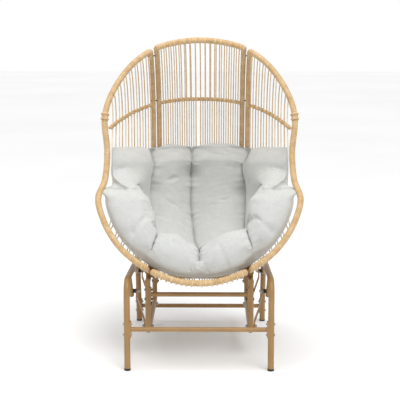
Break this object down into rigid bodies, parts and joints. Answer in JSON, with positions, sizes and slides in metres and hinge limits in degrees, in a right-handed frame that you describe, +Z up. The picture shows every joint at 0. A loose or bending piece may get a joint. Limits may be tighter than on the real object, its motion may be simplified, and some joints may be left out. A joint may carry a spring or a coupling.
{
  "type": "gliding egg chair",
  "caption": "Egg-shaped wicker lounge chair with a tufted cushion, hung on four links in a floor-standing steel glider base.",
  "frame": {"origin": "on the floor at the middle of the base's footprint", "axes": "+Z up, the sitter faces -Y, +X to the right as seen from the front"},
  "size_m": [0.9368, 0.8494, 1.475],
  "materials": {
    "frame_steel": "satin gold-tan powder coat",
    "wicker": "woven resin wicker, satin",
    "cushion_fabric": "plain woven outdoor polyester",
    "black_plastic": "moulded",
    "black_bolt": "black oxide",
    "zinc_bolt": "zinc plated"
  },
  "bodies": {
    "base": {"side_frame_left": "frame_steel", "side_frame_right": "frame_steel", "foot_caps": "black_plastic", "front_crossbar": "frame_steel", "rear_crossbar": "frame_steel", "crossbar_bolts": "zinc_bolt", "hanger_posts_front": "frame_steel", "hanger_posts_rear": "frame_steel", "post_caps": "black_plastic", "upper_pivot_bolts": "zinc_bolt", "upper_spacers": "black_plastic", "upper_nuts": "zinc_bolt"},
    "link_front_left": {"link_front_left": "frame_steel"},
    "link_front_right": {"link_front_right": "frame_steel"},
    "link_rear_left": {"link_rear_left": "frame_steel"},
    "link_rear_right": {"link_rear_right": "frame_steel"},
    "seat": {"cradle_side_left": "frame_steel", "cradle_side_right": "frame_steel", "seat_rails": "frame_steel", "cradle_front_bar": "frame_steel", "cradle_rear_bar": "frame_steel", "cradle_bolts": "black_bolt", "lower_pivot_bolts": "zinc_bolt", "lower_spacers": "black_plastic", "lower_nuts": "zinc_bolt", "seat_brackets": "frame_steel", "seat_bolts": "zinc_bolt", "panel_frame_centre": "wicker", "panel_frame_left": "wicker", "panel_frame_right": "wicker", "mid_band_centre": "wicker", "mid_band_left": "wicker", "mid_band_right": "wicker", "rim_collars": "wicker", "panel_bolts": "black_bolt", "strands_hood_centre": "wicker", "strands_hood_left": "wicker", "strands_hood_right": "wicker", "strands_back_centre": "wicker", "strands_back_left": "wicker", "strands_back_right": "wicker", "strands_seat_centre": "wicker", "strands_seat_left": "wicker", "strands_seat_right": "wicker", "cushion": "cushion_fabric"}
  },
  "joints": [
    {"name": "glide", "type": "hinge", "parent": "base", "child": "link_front_left", "pos_m": [-0.294, -0.148, 0.3], "axis": [1, 0, 0], "range_deg": [-18, 18]},
    {"name": "seat_level", "type": "hinge", "parent": "link_front_left", "child": "seat", "pos_m": [-0.2585, -0.148, 0.128], "axis": [1, 0, 0], "range_deg": [-18, 18]},
    {"name": "swing_front_right", "type": "hinge", "parent": "base", "child": "link_front_right", "pos_m": [0.294, -0.148, 0.3], "axis": [1, 0, 0], "range_deg": [-18, 18]},
    {"name": "swing_rear_left", "type": "hinge", "parent": "base", "child": "link_rear_left", "pos_m": [-0.294, 0.27, 0.3], "axis": [1, 0, 0], "range_deg": [-18, 18]},
    {"name": "swing_rear_right", "type": "hinge", "parent": "base", "child": "link_rear_right", "pos_m": [0.294, 0.27, 0.3], "axis": [1, 0, 0], "range_deg": [-18, 18]}
  ],
  "couplings": [
    {"joint": "seat_level", "follows": "glide", "ratio": -1},
    {"joint": "swing_front_right", "follows": "glide", "ratio": 1},
    {"joint": "swing_rear_left", "follows": "glide", "ratio": 1},
    {"joint": "swing_rear_right", "follows": "glide", "ratio": 1}
  ]
}
